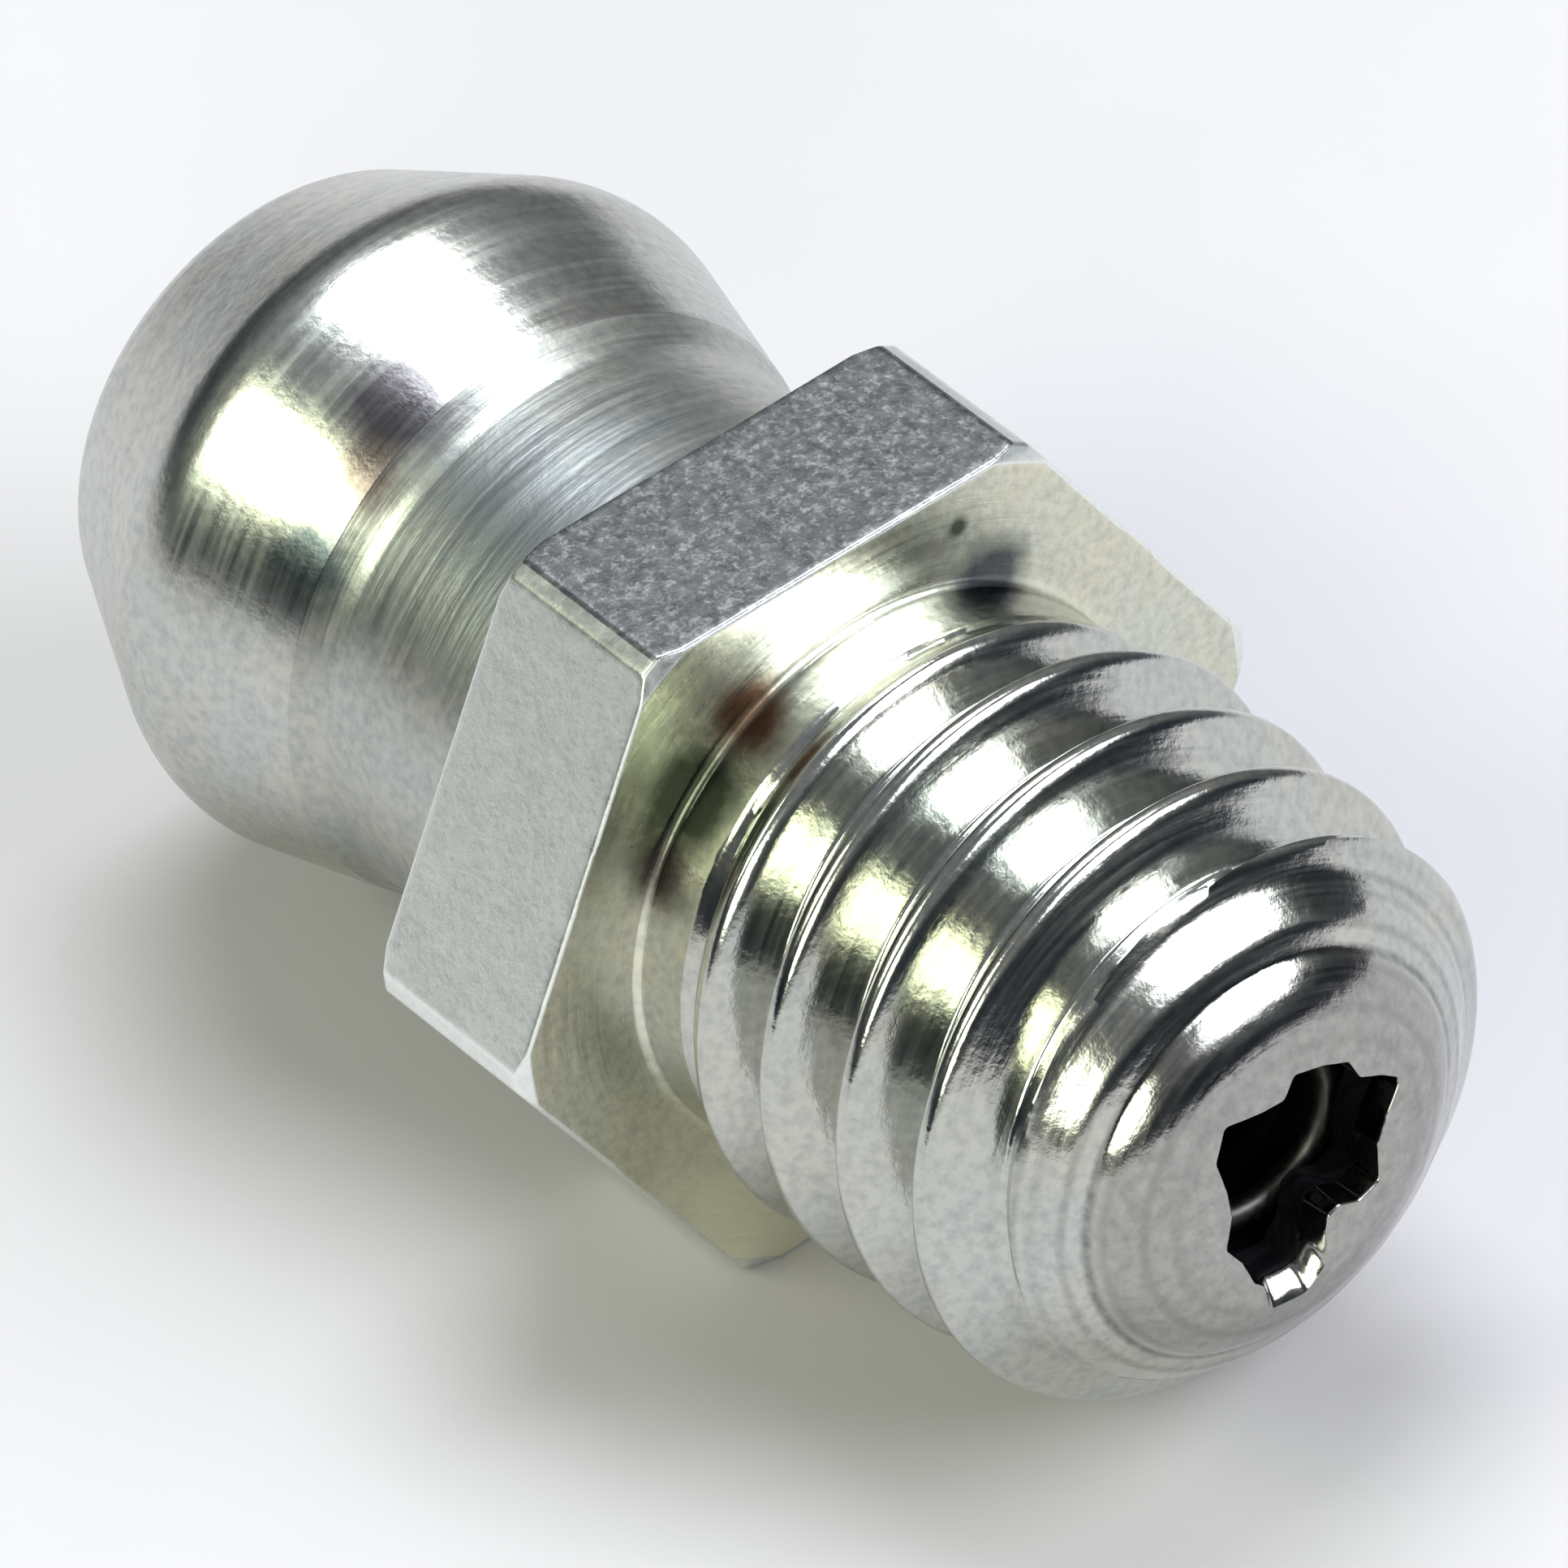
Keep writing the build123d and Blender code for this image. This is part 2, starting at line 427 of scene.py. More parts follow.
def nose_rows():
    """From the end of the thread over the groove and the bead to the end face."""
    first = np.searchsorted(nose_x, thread_end)
    last = np.searchsorted(-nose_r, -face_radius)
    picked = np.linspace(first, last, 24).astype(int)
    return [ring(nose_x[k], nose_r[k]) for k in picked]


def lip_radius():
    """Radius of the staked outlet at each column, with its corners rounded."""
    turn = np.radians([a for a, _ in lip_outline])
    out = np.array([bore_radius - inset for _, inset in lip_outline])
    corners = np.stack([out * np.cos(turn), out * np.sin(turn)], 1)
    curve = []
    for k in range(len(corners)):
        after = corners[(k + 1) % len(corners)]
        arc = arc_points(corners[k - 1], corners[k], after, lip_fillet, 7)
        short_of_next = after + (corners[k] - after) * 0.3
        curve += arc + line_points(arc[-1], short_of_next, 6)
    curve = np.array(curve)
    around = np.arctan2(curve[:, 1], curve[:, 0]) % (2 * pi)
    order = np.argsort(around)
    radius = np.linalg.norm(curve, axis=1)[order]
    return np.interp(angles, around[order], radius, period=2 * pi)


def outlet_rows():
    """The domed end face in to the staked lip, and the lip's wall."""
    lip = lip_radius()
    turn = np.degrees(angles)
    flare = smooth_step(turn, *flare_fades_in) * (1 - smooth_step(turn, *flare_fades_out))
    rounding = lip_rounding + lip_flare * flare
    rows = []
    for share in np.linspace(0, 1, 9)[1:]:
        radius = face_radius + (lip + rounding - face_radius) * share
        rows.append(ring(face_x(radius), radius))
    edge = face_x(lip + rounding)
    for share in np.linspace(0, 1, 8)[1:]:
        bevel = flare_share * flare
        sunk = bevel * share + (1 - bevel) * (1 - cos(share * pi / 2))
        across = bevel * share + (1 - bevel) * sin(share * pi / 2)
        rows.append(ring(edge - rounding * sunk, lip + rounding * (1 - across)))
    rows.append(ring(lip_inside + lip_edge, lip))
    rows.append(ring(lip_inside, lip))
    return rows


def bore_rows():
    """The bore, the ball's seat and the inlet, back to the head's top."""
    rows = [ring(lip_inside, bore_radius)]
    for x in np.linspace(lip_inside, seat_end, 5)[1:]:
        rows.append(ring(x, bore_radius))
    rows.append(ring(seat_edge, inlet_radius))
    rows.append(ring(head_top + inlet_chamfer, inlet_radius))
    return rows


# ---------------------------------------------------------------- meshes

merge_distance = 0.0005
# Edges that turn by more than these angles stay sharp
body_sharp, spring_sharp, ball_sharp = radians(38), radians(50), radians(60)
path_steps = 48  # along one turn of the spring
wire_sides = 16
ball_rings, ball_sides = 48, 96


def add_mesh(name, vertices, faces, sharp_angle):
    """A smooth-shaded mesh object, with edges sharper than the angle kept sharp."""
    mesh = bpy.data.meshes.new(name)
    mesh.from_pydata([tuple(v) for v in vertices], [], faces)
    shape = bmesh.new()
    shape.from_mesh(mesh)
    bmesh.ops.remove_doubles(shape, verts=shape.verts, dist=merge_distance * MM)
    shape.to_mesh(mesh)
    shape.free()
    mesh.validate()
    mesh.shade_smooth()
    mesh.set_sharp_from_angle(angle=sharp_angle)
    piece = bpy.data.objects.new(name, mesh)
    bpy.context.scene.collection.objects.link(piece)
    return piece


def place(x, radius, angle):
    """Points in metres from places along the axis, radii and angles."""
    return np.stack([x, radius * np.cos(angle), radius * np.sin(angle)], -1) * MM


def body_mesh():
    """One closed skin: plain rows before the thread, rows along the helix, and plain rows after."""
    before = head_rows() + hexagon_rows() + shank_rows()
    after = nose_rows() + outlet_rows() + bore_rows()
    vertices, faces = [], []

    def add_ring(row):
        first = len(vertices)
        vertices.extend(place(row[0], row[1], angles))
        return np.arange(first, first + columns)

    rings_before = [add_ring(row) for row in before]
    rings_after = [add_ring(row) for row in after]

    def join(lower, upper):
        for j in range(columns):
            k = (j + 1) % columns
            faces.append((lower[j], lower[k], upper[k], upper[j]))

    for lower, upper in zip(rings_before, rings_before[1:]):
        join(lower, upper)
    for lower, upper in zip(rings_after, rings_after[1:]):
        join(lower, upper)
    join(rings_after[-1], rings_before[0])

    # Points along the helix have a number that goes on from turn to turn, from before the thread's
    # start to after its end. Points of the same number make up one row.
    per_turn = len(stations)
    numbers = np.arange(-3 * per_turn, 9 * per_turn)
    helix = []
    for j in range(columns):
        x = crest_place(angles[j]) + (numbers // per_turn) * pitch + stations[numbers % per_turn]
        keep = (x > thread_start + row_gap) & (x < thread_end - row_gap)
        first = len(vertices)
        vertices.extend(place(x[keep], shank_radius(x[keep], angles[j]), angles[j]))
        helix.append(dict(zip(numbers[keep].tolist(), range(first, len(vertices)))))

    # At both ends one many-sided face per column takes up the points that have no neighbour
    ring_low, ring_high = rings_before[-1], rings_after[0]
    for j in range(columns):
        k = (j + 1) % columns
        shift = per_turn if k == 0 else 0
        left, right = helix[j], {n - shift: v for n, v in helix[k].items()}
        shared = sorted(set(left) & set(right))
        for n in shared[:-1]:
            faces.append((left[n], right[n], right[n + 1], left[n + 1]))
        low, high = shared[0], shared[-1]
        upwards, downwards = sorted(right), sorted(left, reverse=True)
        up = [right[n] for n in upwards if n <= low]
        down = [left[n] for n in downwards if n <= low]
        faces.append((ring_low[j], ring_low[k], *up, *down))
        up = [right[n] for n in upwards if n >= high]
        down = [left[n] for n in downwards if n > high]
        faces.append((left[high], *up, ring_high[k], ring_high[j], *down))
    return vertices, faces


def make_body():
    """Head, neck, hexagon, threaded shank and staked nose in one piece."""
    vertices, faces = body_mesh()
    faces = [tuple(int(v) for v in face) for face in faces]
    body = add_mesh("plated_body", vertices, faces, body_sharp)
    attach(body, "body")
    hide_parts("nipple_body")
    return body


def tube_mesh(path, radius, sides):
    """Round wire along a path, with slightly rounded cut ends."""
    path = np.array(path)
    vertices, faces = [], []
    count = len(path)
    tangents = np.gradient(path, axis=0)
    tangents /= np.linalg.norm(tangents, axis=1)[:, None]
    for k in range(count):
        outward = np.array((0.0, path[k][1], path[k][2]))
        outward -= tangents[k] * (outward @ tangents[k])
        outward /= np.linalg.norm(outward)
        side = np.cross(tangents[k], outward)
        for a in np.linspace(0, 2 * pi, sides, endpoint=False):
            vertices.append((path[k] + radius * (cos(a) * outward + sin(a) * side)) * MM)
    for k in range(count - 1):
        for s in range(sides):
            t = (s + 1) % sides
            faces.append((k * sides + s, k * sides + t, (k + 1) * sides + t, (k + 1) * sides + s))
    for ring_start, end, sign in ((0, 0, -1), ((count - 1) * sides, -1, 1)):
        ring_now = list(range(ring_start, ring_start + sides))
        flip = sign < 0
        middle, out = path[end], tangents[end] * sign
        inner = []
        for v in ring_now:
            off_middle = vertices[v] / MM - middle
            inner.append(len(vertices))
            vertices.append((middle + off_middle * wire_end_share + out * wire_end_length) * MM)
        for s in range(sides):
            t = (s + 1) % sides
            quad = (ring_now[s], ring_now[t], inner[t], inner[s])
            faces.append(quad[::-1] if flip else quad)
        faces.append(tuple(inner[::-1]) if flip else tuple(inner))
    return vertices, faces


def make_spring():
    """Coil spring with its end coils closed up."""
    turns = spring_coils + 1
    length = spring_high.x - spring_low.x - 2 * wire_radius
    open_turns = turns - 2 * closed_turns
    open_pitch = (length - 2 * closed_turns * closed_pitch) / open_turns
    path = []
    for t in np.linspace(0, turns, turns * path_steps + 1):
        x = closed_pitch * min(t, closed_turns)
        x += open_pitch * min(max(t - closed_turns, 0), open_turns)
        x += closed_pitch * max(t - (turns - closed_turns), 0)
        a = 2 * pi * t + pi / 2
        path.append((spring_low.x + wire_radius + x, coil_radius * cos(a), coil_radius * sin(a)))
    vertices, faces = tube_mesh(path, wire_radius, wire_sides)
    spring = add_mesh("coil_spring", vertices, faces, spring_sharp)
    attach(spring, "body")
    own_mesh(spring)
    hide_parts("valve_spring")
    return spring


def make_ball():
    """Check ball, turned about the axis, with a faint polished band where it seats."""
    vertices, faces = [], []
    around = ball_sides
    for k in range(1, ball_rings):
        turn = pi * k / ball_rings
        band = seat_band_depth * np.exp(-(((turn - seat_turn) / seat_band_width) ** 2))
        r = ball_radius - band
        for j in range(around):
            a = 2 * pi * j / around
            vertices.append(place(ball_centre + r * cos(turn), r * sin(turn), a))
    first, last = len(vertices), len(vertices) + 1
    vertices.append(place(ball_high.x, 0.0, 0.0))
    vertices.append(place(ball_low.x, 0.0, 0.0))
    for k in range(ball_rings - 2):
        this, following = k * around, (k + 1) * around
        for j in range(around):
            n = (j + 1) % around
            faces.append((this + j, following + j, following + n, this + n))
    tail = (ball_rings - 2) * around
    for j in range(around):
        n = (j + 1) % around
        faces.append((first, j, n))
        faces.append((last, tail + n, tail + j))
    ball = add_mesh("polished_ball", vertices, faces, ball_sharp)
    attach(ball, "ball")
    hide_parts("check_ball")
    return ball


# ---------------------------------------------------------------- materials

# A patch is whole up to the first share of its size, and gone at the second. Noise adds up to the
# third to the distance from its centre.
patch_core, patch_edge, ragged = 0.7, 1.25, 0.7


class Shading:
    """A material's node tree, with short ways to add the nodes that these finishes use."""

    def __init__(self, name):
        self.material = bpy.data.materials.new(name)
        self.material.use_nodes = True
        self.nodes = self.material.node_tree.nodes
        self.links = self.material.node_tree.links
        self.shader = self.nodes["Principled BSDF"]

    def set(self, name, value):
        """Gives an input of the shader a number, a colour or another node's output."""
        socket = self.shader.inputs[name]
        if isinstance(value, bpy.types.NodeSocket):
            self.links.new(value, socket)
        else:
            socket.default_value = (*value, 1) if isinstance(value, tuple) else value

    def node(self, kind, inputs=(), **settings):
        """A new node with these settings, and with values or other nodes' outputs as its inputs."""
        node = self.nodes.new(kind)
        for name, value in settings.items():
            setattr(node, name, value)
        for name, value in dict(inputs).items():
            if isinstance(value, bpy.types.NodeSocket):
                self.links.new(value, node.inputs[name])
            else:
                node.inputs[name].default_value = value
        return node

    def math(self, operation, a, b=0.0):
        """The result of an operation on one or two values."""
        return self.node("ShaderNodeMath", {0: a, 1: b}, operation=operation).outputs[0]

    def blend(self, share, a, b):
        """A mix of two colours."""
        node = self.node("ShaderNodeMix", {0: share}, data_type="RGBA")
        for socket, value in ((node.inputs[6], a), (node.inputs[7], b)):
            if isinstance(value, bpy.types.NodeSocket):
                self.links.new(value, socket)
            else:
                socket.default_value = (*value, 1)
        return node.outputs[2]

    def spread(self, value, low, high, to_low=0.0, to_high=1.0):
        """The value stretched from one range to another, and held within it."""
        node = self.node("ShaderNodeMapRange", {0: value, 1: low, 2: high, 3: to_low, 4: to_high})
        return node.outputs[0]

    def noise(self, vector, scale, detail=2.0, roughness=0.5):
        """Noise from 0 to 1, with that many waves for each unit of the coordinates."""
        inputs = {"Vector": vector, "Scale": scale, "Detail": detail, "Roughness": roughness}
        return self.node("ShaderNodeTexNoise", inputs).outputs[0]

    def bump(self, height, depth, normal=None):
        """Bump of that depth in millimetres."""
        inputs = {"Height": height, "Distance": depth * MM, "Strength": 1.0}
        if normal is not None:
            inputs["Normal"] = normal
        return self.node("ShaderNodeBump", inputs).outputs[0]

    def patch(self, centre, size):
        """How far a place belongs to a ragged patch of that size round a centre, in millimetres."""
        ends = {0: self.millimetres(), 1: centre}
        apart = self.node("ShaderNodeVectorMath", ends, operation="DISTANCE")
        noise = self.noise(self.millimetres(), scale=2.0, detail=3.0, roughness=0.6)
        added = self.math("MULTIPLY", noise, ragged * size)
        reach = self.math("ADD", apart.outputs["Value"], added)
        return self.spread(reach, patch_core * size, patch_edge * size, 1.0, 0.0)

    def millimetres(self):
        """Object coordinates in millimetres."""
        metres = self.node("ShaderNodeTexCoord").outputs["Object"]
        scaled = self.node("ShaderNodeVectorMath", {0: metres, "Scale": 1 / MM}, operation="SCALE")
        return scaled.outputs[0]

    def polar(self):
        """Place along the axis, the two places across it, and the distance from it."""
        x, y, z = self.node("ShaderNodeSeparateXYZ", {0: self.millimetres()}).outputs
        squares = self.math("ADD", self.math("MULTIPLY", y, y), self.math("MULTIPLY", z, z))
        return x, y, z, self.math("SQRT", squares)

    def turned(self, along, around):
        """Coordinates for marks that run round the axis: fine across it and long around it."""
        x, y, z, radius = self.polar()
        profile = self.math("MULTIPLY", self.math("SUBTRACT", x, radius), along)
        side_y = self.math("MULTIPLY", self.math("DIVIDE", y, radius), around)
        side_z = self.math("MULTIPLY", self.math("DIVIDE", z, radius), around)
        return self.node("ShaderNodeCombineXYZ", {0: profile, 1: side_y, 2: side_z}).outputs[0]


# Patches of painted shade, painted reflection and painted light on the turned zinc: centre, size,
# colour and strength
painted_shade_and_light = [
    ((-3.2, -1.0, 2.55), 2.00, (0.34, 0.365, 0.38), 0.9),
    ((0.0, -1.60, -3.00), 2.30, (0.64, 0.635, 0.60), 0.95),
    ((0.0, -2.60, 2.40), 1.40, (0.20, 0.21, 0.19), 0.75),
    ((-5.05, -0.95, 2.80), 0.85, (0.09, 0.085, 0.10), 0.88),
    ((-4.84, -1.55, 2.42), 0.50, (0.14, 0.11, 0.11), 0.9),
    ((-4.90, -2.20, 1.80), 0.65, (0.07, 0.09, 0.11), 0.92),
    ((0.0, -1.15, 2.45), 0.55, (0.17, 0.10, 0.07), 0.9),
    ((0.0, -1.90, 1.95), 0.90, (0.05, 0.06, 0.05), 0.95),
    ((0.1, -2.15, 1.30), 0.55, (0.07, 0.06, 0.06), 0.85),
    ((0.0, 1.45, 2.38), 0.55, (0.06, 0.07, 0.09), 0.95),
    ((0.0, 1.20, 3.05), 0.15, (0.04, 0.05, 0.04), 0.9),
]
# A place on the nose is known by its distance along the axis less its radius. The staked end's
# duller zinc comes in between these places.
staked_from, staked_to, staked_strength = 3.15, 3.45, 0.85

# Dark rings round the nose, mostly painted shade in its groove and painted dark reflections, with
# some turning marks: half the width of their core and of their soft edge, and the place and
# strength of each
line_core, line_edge = 0.02, 0.09
painted_shade_rings = [
    (2.05, 0.12),
    (2.33, 0.35),
    (2.55, 0.2),
    (2.93, 0.35),
    (3.22, 0.7),
    (3.42, 0.2),
    (3.90, 0.25),
    (4.25, 0.15),
]


def staked_end(shade, colour):
    """The staked end's duller zinc, and dark rings of painted shade and reflection round the nose.
    """
    dark_zinc, pale_zinc = (0.26, 0.255, 0.245), (0.42, 0.41, 0.39)
    shade_ring_colour = (0.10, 0.10, 0.10)
    x, _, _, radius = shade.polar()
    outline = shade.math("SUBTRACT", x, radius)
    staked = shade.spread(outline, staked_from, staked_to, 0.0, staked_strength)
    grain = shade.noise(shade.millimetres(), scale=8.0, detail=4.0, roughness=0.65)
    dull = shade.blend(shade.spread(grain, 0.3, 0.7), dark_zinc, pale_zinc)
    colour = shade.blend(staked, colour, dull)
    for line_place, strength in painted_shade_rings:
        off_line = shade.math("ABSOLUTE", shade.math("SUBTRACT", outline, line_place))
        darkened = shade.spread(off_line, line_core, line_edge, 1.0, 0.0)
        line = shade.math("MULTIPLY", darkened, strength)
        line = shade.math("MULTIPLY", line, shade.spread(grain, 0.35, 0.60, 0.5, 1.0))
        colour = shade.blend(line, colour, shade_ring_colour)
    return colour


def turned_zinc(name, roughness, lines, tone):
    """Bright zinc over turned steel: fine lines round the axis, a mottled, tinted skin, and patches
    and rings of painted shade, painted reflection and painted light.

    The depth of the lines is in millimetres, and the tone multiplies the colour.
    """
    cool_zinc, warm_zinc, grey_zinc = (0.46, 0.485, 0.465), (0.50, 0.49, 0.44), (0.37, 0.38, 0.37)
    shade = Shading(name)
    fine = shade.noise(shade.turned(along=12, around=1.6), scale=1.0, detail=3.0)
    broad = shade.noise(shade.turned(along=1.6, around=1.8), scale=1.0, detail=2.0)
    grain = shade.noise(shade.millimetres(), scale=9.0, detail=3.0, roughness=0.6)
    mottle = shade.noise(shade.millimetres(), scale=0.9, detail=2.0)
    colour = shade.blend(shade.spread(mottle, 0.35, 0.65), cool_zinc, warm_zinc)
    colour = shade.blend(shade.spread(grain, 0.30, 0.60), grey_zinc, colour)
    # Patches of painted shade, painted reflection and painted light
    for centre, size, tint, strength in painted_shade_and_light:
        share = shade.math("MULTIPLY", shade.patch(centre, size), strength)
        colour = shade.blend(share, colour, tint)
    toned = shade.node("ShaderNodeVectorMath", {0: colour, 1: tone}, operation="MULTIPLY")
    colour = toned.outputs[0]
    shade.set("Base Color", staked_end(shade, colour))
    shade.set("Metallic", 1.0)
    shade.set("Roughness", shade.spread(fine, 0.3, 0.7, roughness, roughness + 0.1))
    normal = shade.bump(fine, lines)
    normal = shade.bump(broad, 0.010, normal)
    shade.set("Normal", shade.bump(grain, 0.0028, normal))
    return shade.material


def drawn_zinc(name, low, high, speck, roughness):
    """One of the hexagon's flats: drawn bar with small pits, coloured per flat as painted light and
    shade.
    """
    shade = Shading(name)
    grain = shade.noise(shade.millimetres(), scale=6.0, detail=4.0, roughness=0.7)
    specks = shade.noise(shade.millimetres(), scale=13.0, detail=4.0, roughness=0.7)
    broad = shade.noise(shade.millimetres(), scale=0.8, detail=2.0)
    colour = shade.blend(shade.spread(grain, 0.35, 0.65), low, high)
    colour = shade.blend(shade.spread(specks, 0.50, 0.66), colour, speck)
    shade.set("Base Color", colour)
    shade.set("Metallic", 1.0)
    shade.set("Roughness", shade.spread(grain, 0.3, 0.7, roughness, roughness + 0.1))
    normal = shade.bump(grain, 0.0025)
    normal = shade.bump(specks, 0.002, normal)
    shade.set("Normal", shade.bump(broad, 0.01, normal))
    return shade.material


def bore_painted_shade():
    """The bore: near-black painted shade over a drilled wall."""
    dark, light = (0.03, 0.03, 0.04), (0.06, 0.06, 0.07)
    shade = Shading("bore_painted_shade")
    fine = shade.noise(shade.turned(along=9, around=1.0), scale=1.0, detail=3.0)
    shade.set("Base Color", shade.blend(shade.spread(fine, 0.3, 0.7), dark, light))
    shade.set("Metallic", 1.0)
    shade.set("Roughness", shade.spread(fine, 0.3, 0.7, 0.4, 0.55))
    shade.set("Normal", shade.bump(fine, 0.004))
    return shade.material


def spring_steel_painted_shade():
    """Drawn spring wire with fine lines, coloured near black as painted shade inside the bore."""
    shade = Shading("spring_steel_painted_shade")
    grain = shade.noise(shade.millimetres(), scale=14.0, detail=3.0)
    shade.set("Base Color", shade.blend(grain, (0.05, 0.05, 0.05), (0.10, 0.10, 0.09)))
    shade.set("Metallic", 1.0)
    shade.set("Roughness", shade.spread(grain, 0.3, 0.7, 0.34, 0.46))
    shade.set("Normal", shade.bump(grain, 0.002))
    return shade.material


def ground_steel():
    """Ground and polished ball steel."""
    shade = Shading("ground_steel")
    grain = shade.noise(shade.millimetres(), scale=20.0, detail=2.0)
    shade.set("Base Color", shade.blend(grain, (0.56, 0.56, 0.57), (0.62, 0.62, 0.63)))
    shade.set("Metallic", 1.0)
    shade.set("Roughness", shade.spread(grain, 0.3, 0.7, 0.07, 0.12))
    shade.set("Normal", shade.bump(grain, 0.0005))
    return shade.material


def pale_sheet():
    """Smooth pale paper under the nipple."""
    shade = Shading("pale_sheet")
    grain = shade.noise(shade.millimetres(), scale=0.4, detail=2.0)
    shade.set("Base Color", shade.blend(grain, (0.48, 0.465, 0.495), (0.50, 0.485, 0.515)))
    shade.set("Roughness", 0.9)
    return shade.material


def finish_body(body):
    """Gives the shank, head, neck, flats, bore and the hexagon's faces their own materials, some
    with painted light and shade.
    """
    mesh = body.data
    # The side flats are painted light and the top flat painted shade: one drawn bar, coloured pale
    # and dark by how the light falls on each.
    pale, pale_light, pale_speck = (0.78, 0.81, 0.78), (0.82, 0.85, 0.82), (0.72, 0.75, 0.72)
    dark, dark_light, dark_speck = (0.18, 0.185, 0.195), (0.24, 0.245, 0.25), (0.48, 0.48, 0.48)
    finishes = [
        turned_zinc("turned_zinc", roughness=0.11, lines=0.0014, tone=(1.14, 1.14, 1.12)),
        turned_zinc("head_zinc", roughness=0.20, lines=0.0016, tone=(1.15, 1.15, 1.15)),
        # Its lower tone darkens the neck as painted shade.
        turned_zinc("neck_zinc", roughness=0.30, lines=0.0050, tone=(1.03, 1.04, 1.04)),
        drawn_zinc("side_flats_painted_light", pale, pale_light, pale_speck, roughness=0.26),
        drawn_zinc("top_flat_painted_shade", dark, dark_light, dark_speck, roughness=0.26),
        bore_painted_shade(),
        # Its high tone lightens the hexagon's front face as painted light.
        turned_zinc("face_zinc_painted_light", roughness=0.24, lines=0.0040, tone=(1.50, 1.48, 1.30)),
    ]
    for finish in finishes:
        mesh.materials.append(finish)
    shank, head, neck, sides, top, bore, hex_faces = range(len(finishes))

    centres = np.zeros(len(mesh.polygons) * 3)
    mesh.polygons.foreach_get("center", centres)
    centres = centres.reshape(-1, 3) / MM
    x, radius = centres[:, 0], np.hypot(centres[:, 1], centres[:, 2])
    slack = 0.02
    lip_wall_end = lip_inside + lip_edge + 0.05
    in_bore = (radius < bore_radius + slack) & (x > head_top + slack) & (x < lip_wall_end)
    on_flats = (x > hex_back) & (x < 0) & (radius > flat_radius - slack)
    on_top = on_flats & (centres[:, 2] > flat_radius - slack)
    on_head = x < step_x + 0.03
    on_neck = x < hex_back
    on_face = (x < 0.05) & (radius > blank_radius)
    places = [in_bore, on_top, on_flats, on_head, on_neck, on_face]
    chosen = np.select(places, [bore, top, sides, head, neck, hex_faces], shank)
    mesh.polygons.foreach_set("material_index", chosen.astype(np.int32))


# ---------------------------------------------------------------- stage

floor_size = 800
light_distance = 0.4  # in metres
# Colour of the surround by height above the horizon: a pale sweep, dark walls and a grey ceiling
surround = [
    (0.000, (0.80, 0.80, 0.78)),
    (0.012, (0.014, 0.018, 0.040)),
    (0.30, (0.025, 0.035, 0.040)),
    (0.50, (0.14, 0.15, 0.16)),
    (0.75, (0.24, 0.25, 0.26)),
    (1.00, (0.22, 0.23, 0.26)),
]
surround_up = (0.056, 0, 0.998)  # tipped, so that the sweep rises behind the head
# The walls are lighter on one side. The gain comes in as a direction nears that side's.
lit_wall = (-0.45, 0.89, 0)
lit_wall_from, lit_wall_to, lit_wall_gain = 0.55, 0.95, 0.15


def make_floor():
    """Plain pale sheet that the nipple lies on."""
    half = floor_size / 2 * MM
    top = body_low.z * MM
    mesh = bpy.data.meshes.new("floor")
    corners = [(-half, -half, top), (half, -half, top), (half, half, top), (-half, half, top)]
    mesh.from_pydata(corners, [], [(0, 1, 2, 3)])
    floor = bpy.data.objects.new("floor", mesh)
    bpy.context.scene.collection.objects.link(floor)
    mesh.materials.append(pale_sheet())


def make_world():
    """Surround of a small studio, which the bright metal mirrors."""
    world = bpy.data.worlds.new("studio")
    world.use_nodes = True
    bpy.context.scene.world = world
    nodes, links = world.node_tree.nodes, world.node_tree.links
    looked_at = nodes.new("ShaderNodeTexCoord").outputs["Generated"]

    def share_towards(way):
        dot = nodes.new("ShaderNodeVectorMath")
        dot.operation = "DOT_PRODUCT"
        dot.inputs[1].default_value = way
        links.new(looked_at, dot.inputs[0])
        return dot.outputs["Value"]

    ramp = nodes.new("ShaderNodeValToRGB")
    links.new(share_towards(surround_up), ramp.inputs[0])
    while len(ramp.color_ramp.elements) < len(surround):
        ramp.color_ramp.elements.new(0.5)
    for element, (height, colour) in zip(ramp.color_ramp.elements, surround):
        element.position = height
        element.color = (*colour, 1)

    wall = nodes.new("ShaderNodeMapRange")
    wall.inputs["From Min"].default_value = lit_wall_from
    wall.inputs["From Max"].default_value = lit_wall_to
    wall.inputs["To Max"].default_value = lit_wall_gain
    links.new(share_towards(lit_wall), wall.inputs["Value"])
    added = nodes.new("ShaderNodeVectorMath")
    links.new(ramp.outputs[0], added.inputs[0])
    links.new(wall.outputs[0], added.inputs[1])
    links.new(added.outputs[0], nodes["Background"].inputs["Color"])


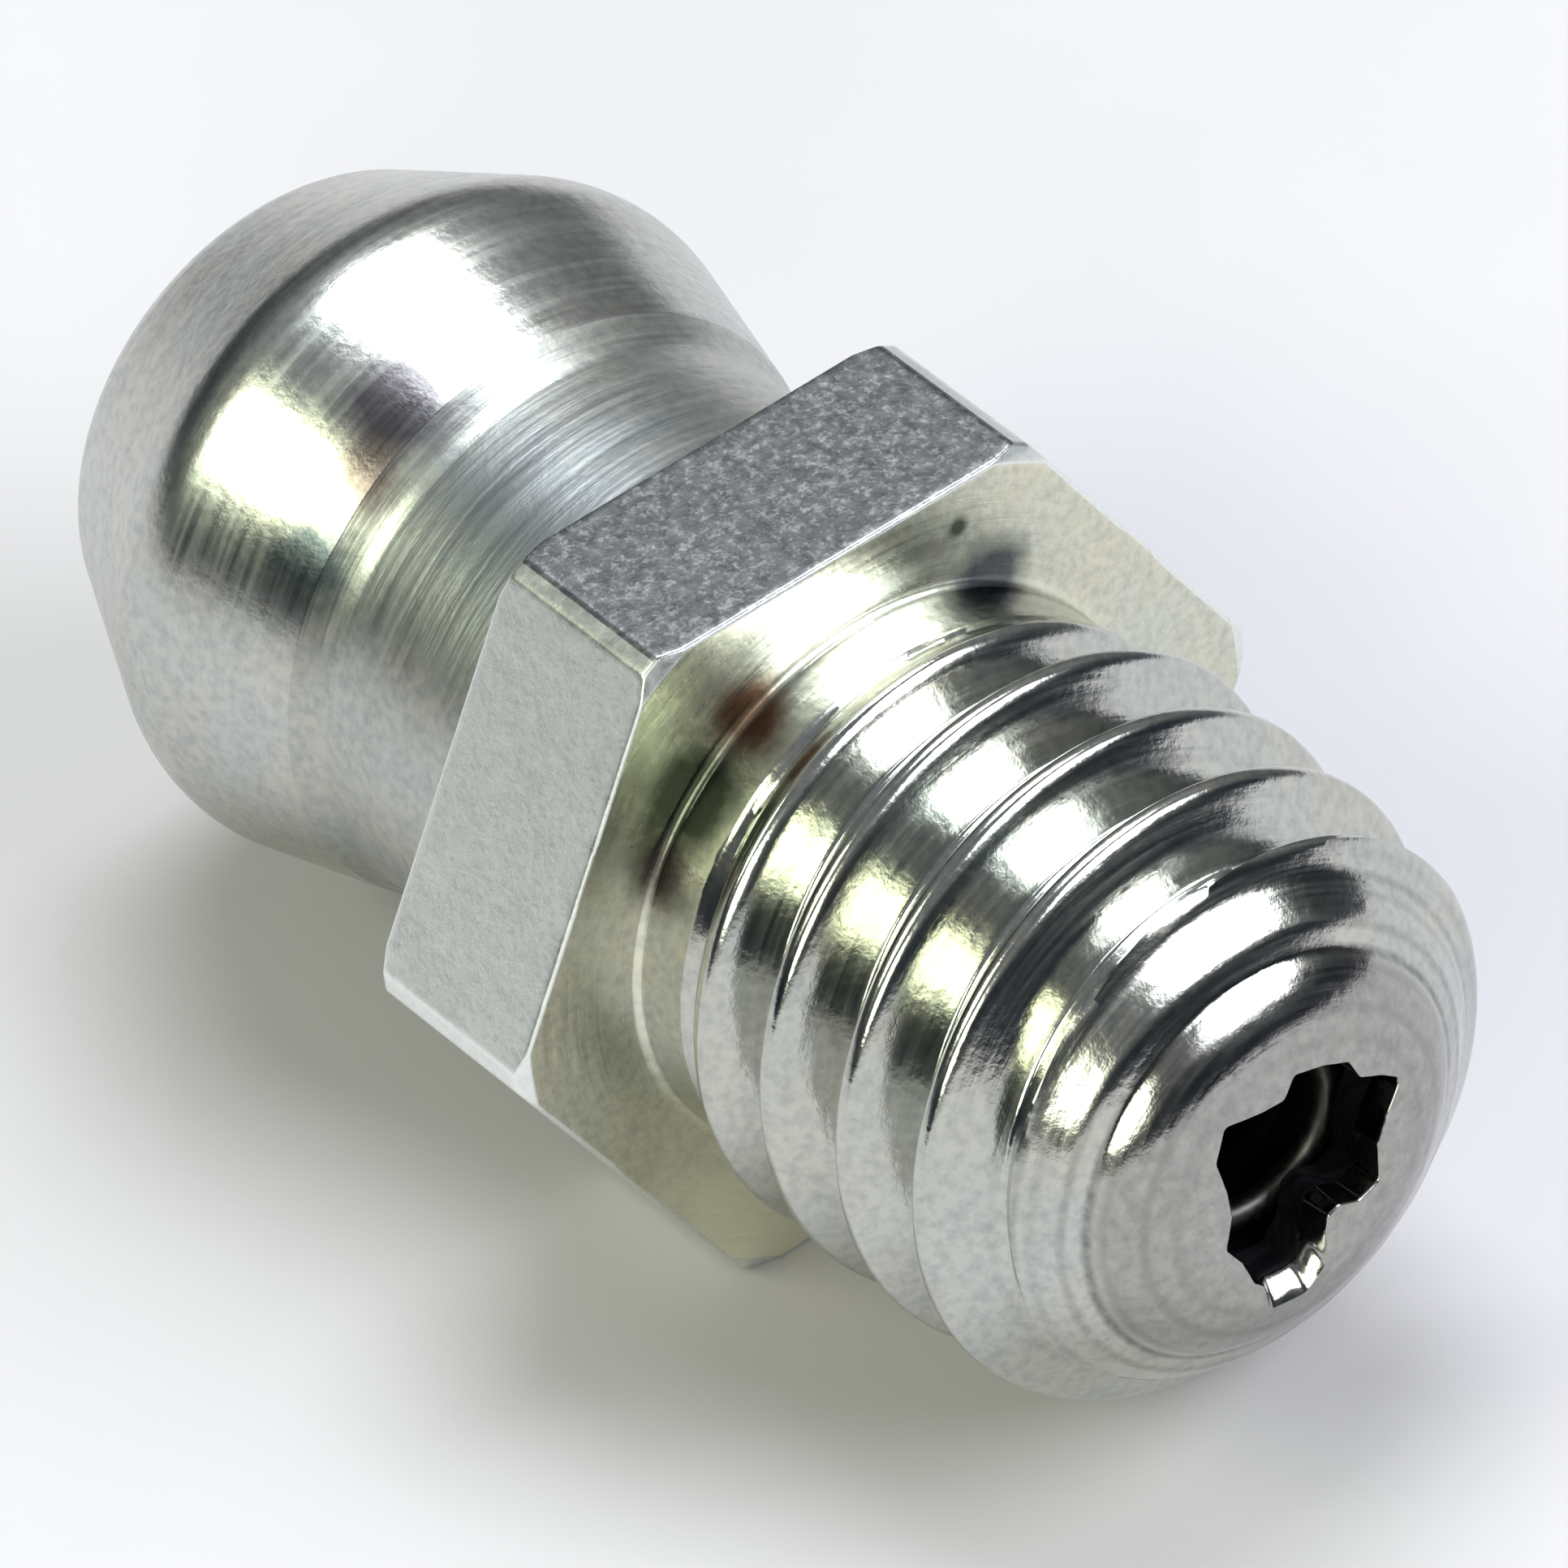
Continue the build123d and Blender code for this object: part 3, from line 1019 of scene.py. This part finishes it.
def direction(azimuth, elevation):
    """Unit vector towards a place, with azimuth 0 at -Y and 90 at +X."""
    return Vector((sin(azimuth) * cos(elevation), -cos(azimuth) * cos(elevation), sin(elevation)))


def make_light(name, azimuth, elevation, size, radiance, colour):
    """Oval lamp that faces the nipple. Its place and size are in degrees, as seen from there."""
    back = direction(radians(azimuth), radians(elevation))
    width, height = (2 * light_distance * tan(radians(s) / 2) for s in size)
    data = bpy.data.lights.new(name, "AREA")
    data.shape = "ELLIPSE"
    data.size, data.size_y = width, height
    data.energy = radiance * pi * width * height * pi / 4
    data.color = colour
    light = bpy.data.objects.new(name, data)
    light.rotation_mode = "QUATERNION"
    light.rotation_quaternion = back.to_track_quat("Z", "Y")
    light.location = back * light_distance
    bpy.context.scene.collection.objects.link(light)


def make_lights():
    """Two bluish lamps and two faintly yellow-green ones."""
    make_light("window", 120, 40, (48, 34), 8.0, (0.93, 0.97, 1.0))
    make_light("ceiling_lamp", -136, 70, (38, 30), 10.0, (0.94, 0.98, 1.0))
    make_light("side_lamp", 46, 22, (26, 28), 7.0, (0.98, 1.0, 0.82))
    make_light("front_lamp", -18, 42, (30, 25), 7.5, (0.95, 1.0, 0.72))


def make_camera():
    """Long lens from above the nose, rolled a little."""
    back = direction(camera_azimuth, camera_elevation)
    level_right = Vector((0, 0, 1)).cross(back).normalized()
    level_up = back.cross(level_right)
    up = level_up * cos(camera_roll) + level_right * sin(camera_roll)
    right = up.cross(back)
    location = (camera_aim + back * camera_distance) * MM
    data = bpy.data.cameras.new("camera")
    data.lens = camera_lens
    data.sensor_width = sensor_width
    data.clip_start = camera_near * MM
    data.clip_end = camera_far * MM
    camera = bpy.data.objects.new("camera", data)
    matrix = Matrix((right, up, back)).transposed().to_4x4()
    matrix.translation = location
    camera.matrix_world = matrix
    bpy.context.scene.collection.objects.link(camera)
    bpy.context.scene.camera = camera


bpy.context.scene.view_settings.view_transform = "Standard"
make_camera()
make_world()
make_lights()
make_floor()
finish_body(make_body())
make_spring().data.materials.append(spring_steel_painted_shade())
make_ball().data.materials.append(ground_steel())
